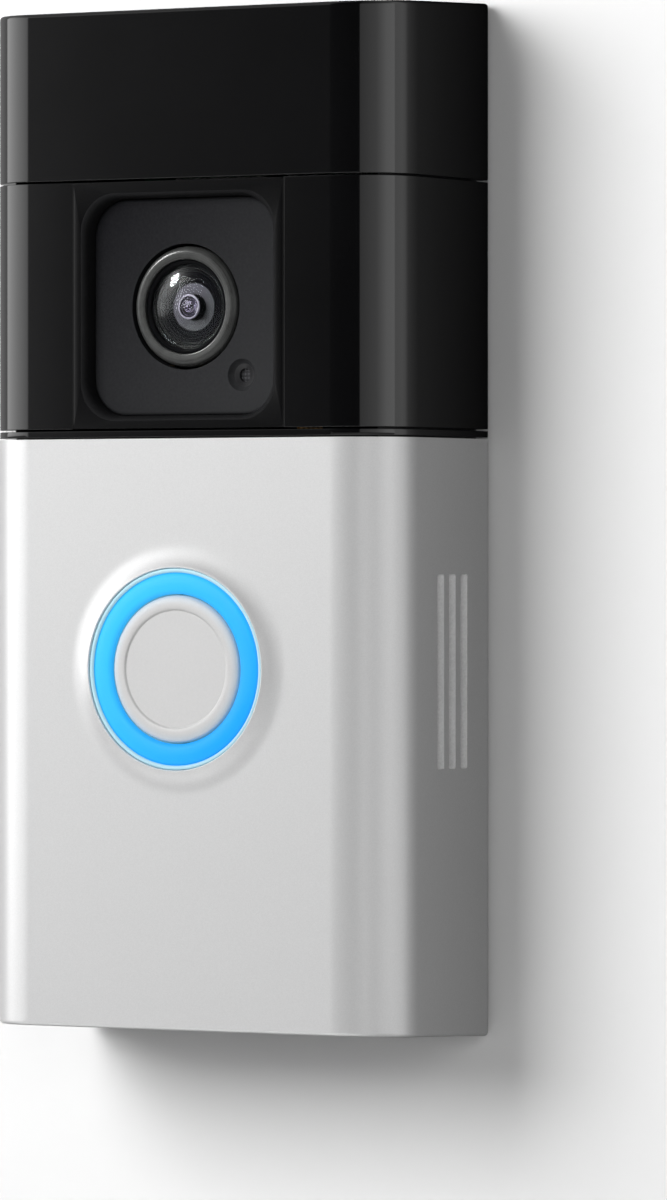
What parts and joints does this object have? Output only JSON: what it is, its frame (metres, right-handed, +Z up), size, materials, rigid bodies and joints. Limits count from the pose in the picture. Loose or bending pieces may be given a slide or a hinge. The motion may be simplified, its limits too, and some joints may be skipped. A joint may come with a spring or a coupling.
{
  "type": "video doorbell",
  "caption": "Battery video doorbell: gloss black camera head over a satin silver faceplate with a lit round push button, sound slots in one side and a slide-out battery pack.",
  "frame": {"origin": "centre of the flat back face, where it meets the wall", "axes": "+Y into the wall, +Z up, +X right as seen from the street"},
  "size_m": [0.0602, 0.0274, 0.13],
  "materials": {
    "gloss_black_shell": "high gloss black",
    "bezel_black": "gloss black, slightly softer than the shells",
    "charcoal_plate": "fine matte charcoal",
    "gunmetal": "turned and blackened",
    "barrel_black": "matte black",
    "lens_glass": "coated glass",
    "aperture_black": "matte black",
    "satin_silver": "satin metallic silver",
    "button_silver": "satin light grey",
    "light_guide_blue": "milky light guide, lit blue",
    "chassis_black": "moulded matte black",
    "housing_black": "moulded fine texture black",
    "rubber_black": "matte elastomer",
    "board_green": "solder mask",
    "board_black": "black solder mask",
    "chip_black": "epoxy package",
    "sensor_silicon": "sensor die under glass",
    "led_lens": "dark infra-red lens",
    "led_white": "surface-mount lamp",
    "pir_can": "drawn metal can",
    "pir_window": "moulded lens sheet",
    "steel": "zinc plated steel",
    "screw_black": "black oxide steel",
    "gold_contact": "gold plated",
    "brass": "brass",
    "mesh_dark": "woven acoustic mesh",
    "cone_paper": "pressed speaker cone",
    "magnet": "plated magnet",
    "ribbon_amber": "polyimide film",
    "cell_wrap": "wrapped cell",
    "battery_black": "moulded fine texture black",
    "latch_black": "moulded black, ribbed",
    "spring_steel": "spring steel"
  },
  "bodies": {
    "root": {"aperture_ring": "aperture_black", "back_housing": "housing_black", "board_connector": "chip_black", "board_screws": "steel", "button_board": "board_black", "button_gasket": "rubber_black", "button_ribbon": "ribbon_amber", "camera_band": "gloss_black_shell", "camera_bezel": "bezel_black", "camera_board": "board_green", "camera_plate": "charcoal_plate", "chassis": "chassis_black", "contact_block": "chip_black", "contact_pins": "gold_contact", "divider_strip": "gloss_black_shell", "front_lens": "lens_glass", "housing_gasket": "rubber_black", "housing_screws": "steel", "image_sensor": "sensor_silicon", "ir_board": "board_black", "ir_leds": "led_lens", "lens_barrel": "barrel_black", "lens_holder": "barrel_black", "lens_trim_ring": "gunmetal", "light_ring": "light_guide_blue", "main_board": "board_green", "microphone": "steel", "microphone_mesh": "mesh_dark", "motion_sensors": "pir_can", "rear_lens": "lens_glass", "return_spring": "spring_steel", "ring_leds": "led_white", "second_lens": "lens_glass", "sensor_board": "board_green", "sensor_lens_insert": "pir_window", "shield_can": "pir_can", "speaker_cone": "cone_paper", "speaker_frame": "chassis_black", "speaker_gasket": "rubber_black", "speaker_magnet": "magnet", "tact_switches": "steel", "terminal_plates": "brass", "terminal_screws": "steel", "top_cover": "gloss_black_shell", "wifi_antenna": "ribbon_amber", "wifi_module": "steel"},
    "button": {"button_cap": "button_silver", "button_carrier": "chassis_black"},
    "setup_button": {"setup_button": "latch_black"},
    "faceplate": {"faceplate": "satin_silver", "speaker_mesh": "mesh_dark"},
    "security_screw": {"security_screw": "screw_black"},
    "battery": {"battery_case": "battery_black", "battery_cells": "cell_wrap", "battery_board": "board_green", "battery_terminals": "gold_contact", "charging_port": "steel", "battery_end_cap": "battery_black", "latch_spring": "spring_steel"},
    "release_tab": {"release_tab": "latch_black"}
  },
  "joints": [
    {"name": "button_press", "type": "slide", "parent": "root", "child": "button", "axis": [0, 1, 0], "range_m": [0, 0.0006], "stiffness_N_per_m": 3000, "springref_m": -0.0003, "deforming": ["return_spring"]},
    {"name": "setup_button_press", "type": "slide", "parent": "root", "child": "setup_button", "axis": [0, 1, 0], "range_m": [0, 0.0003], "stiffness_N_per_m": 3000, "springref_m": -0.0002},
    {"name": "faceplate_off", "type": "slide", "parent": "root", "child": "faceplate", "axis": [0, -1, 0], "range_m": [0, 0.045]},
    {"name": "security_screw_out", "type": "slide", "parent": "faceplate", "child": "security_screw", "axis": [0, 0, -1], "range_m": [0, 0.005]},
    {"name": "battery_slide", "type": "slide", "parent": "root", "child": "battery", "axis": [0, 0, -1], "range_m": [0, 0.07]},
    {"name": "battery_release", "type": "slide", "parent": "battery", "child": "release_tab", "axis": [0, 1, 0], "range_m": [0, 0.0012], "stiffness_N_per_m": 1500, "springref_m": -0.0004, "deforming": ["latch_spring"]}
  ]
}
